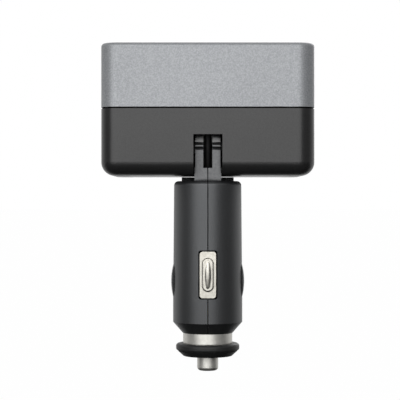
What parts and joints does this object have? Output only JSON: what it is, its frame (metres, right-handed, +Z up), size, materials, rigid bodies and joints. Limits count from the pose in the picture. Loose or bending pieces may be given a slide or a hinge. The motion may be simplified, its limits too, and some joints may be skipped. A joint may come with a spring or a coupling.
{
  "type": "cigarette lighter socket splitter",
  "caption": "In-car power socket splitter: a plug barrel with sprung contacts and a fuse, and a hinged head with socket cups side by side.",
  "frame": {"origin": "on the axis of the plug barrel, at the lower end of its cylindrical guide land", "axes": "+Z up along the barrel to the head, +X to the right as seen in the picture, the folding side of the head faces -Y"},
  "size_m": [0.062, 0.036, 0.0956],
  "materials": {
    "barrel_plastic": "satin black moulding",
    "cap_plastic": "smooth black moulding",
    "nickel_plate": "nickel plated",
    "fuse_glass": "clear",
    "copper_alloy": "bare strip",
    "spring_steel": "bare",
    "lead_positive": "flexible insulation",
    "lead_negative": "flexible insulation",
    "upper_plastic": "fine metallic grey paint",
    "lower_plastic": "fine textured dark grey",
    "rim_plastic": "smooth black moulding",
    "socket_steel": "drawn and plated",
    "insulator_plastic": "pressed board",
    "screw_steel": "dark zinc"
  },
  "bodies": {
    "plug": {"barrel_left": "barrel_plastic", "barrel_right": "barrel_plastic", "nose_ring": "nickel_plate", "tip_cap": "cap_plastic", "tip_spring": "spring_steel", "spring_terminal": "copper_alloy", "contact_spring_front": "spring_steel", "contact_spring_rear": "spring_steel", "ground_strap": "copper_alloy"},
    "tip": {"tip_contact": "nickel_plate", "fuse_glass": "fuse_glass", "fuse_caps": "nickel_plate", "fuse_wire": "copper_alloy"},
    "front_contact": {"contact_front": "nickel_plate"},
    "rear_contact": {"contact_rear": "nickel_plate"},
    "head": {"lead_positive": "lead_positive", "lead_negative": "lead_negative", "upper_shell": "upper_plastic", "lower_shell": "lower_plastic", "socket_rim_left": "rim_plastic", "socket_rim_right": "rim_plastic", "socket_sleeve_left": "socket_steel", "socket_sleeve_right": "socket_steel", "insulator_left": "insulator_plastic", "insulator_right": "insulator_plastic", "centre_contact_left": "copper_alloy", "centre_contact_right": "copper_alloy", "positive_bus_bar": "copper_alloy", "ground_bus_bar": "copper_alloy", "detent_spring_left": "spring_steel", "detent_spring_right": "spring_steel", "shell_screws": "screw_steel"}
  },
  "joints": [
    {"name": "head_tilt", "type": "hinge", "parent": "plug", "child": "head", "pos_m": [0, -0.004, 0.0512], "axis": [1, 0, 0], "range_deg": [0, 90], "deforming": ["lead_positive", "lead_negative", "detent_spring_left", "detent_spring_right"]},
    {"name": "tip_press", "type": "slide", "parent": "plug", "child": "tip", "axis": [0, 0, 1], "range_m": [0, 0.0025], "stiffness_N_per_m": 800, "springref_m": -0.005, "deforming": ["tip_spring"]},
    {"name": "front_contact_press", "type": "slide", "parent": "plug", "child": "front_contact", "axis": [0, 1, 0], "range_m": [0, 0.001], "stiffness_N_per_m": 1000, "springref_m": -0.001, "deforming": ["contact_spring_front"]},
    {"name": "rear_contact_press", "type": "slide", "parent": "plug", "child": "rear_contact", "axis": [0, -1, 0], "range_m": [0, 0.001], "stiffness_N_per_m": 1000, "springref_m": -0.001, "deforming": ["contact_spring_rear"]}
  ]
}
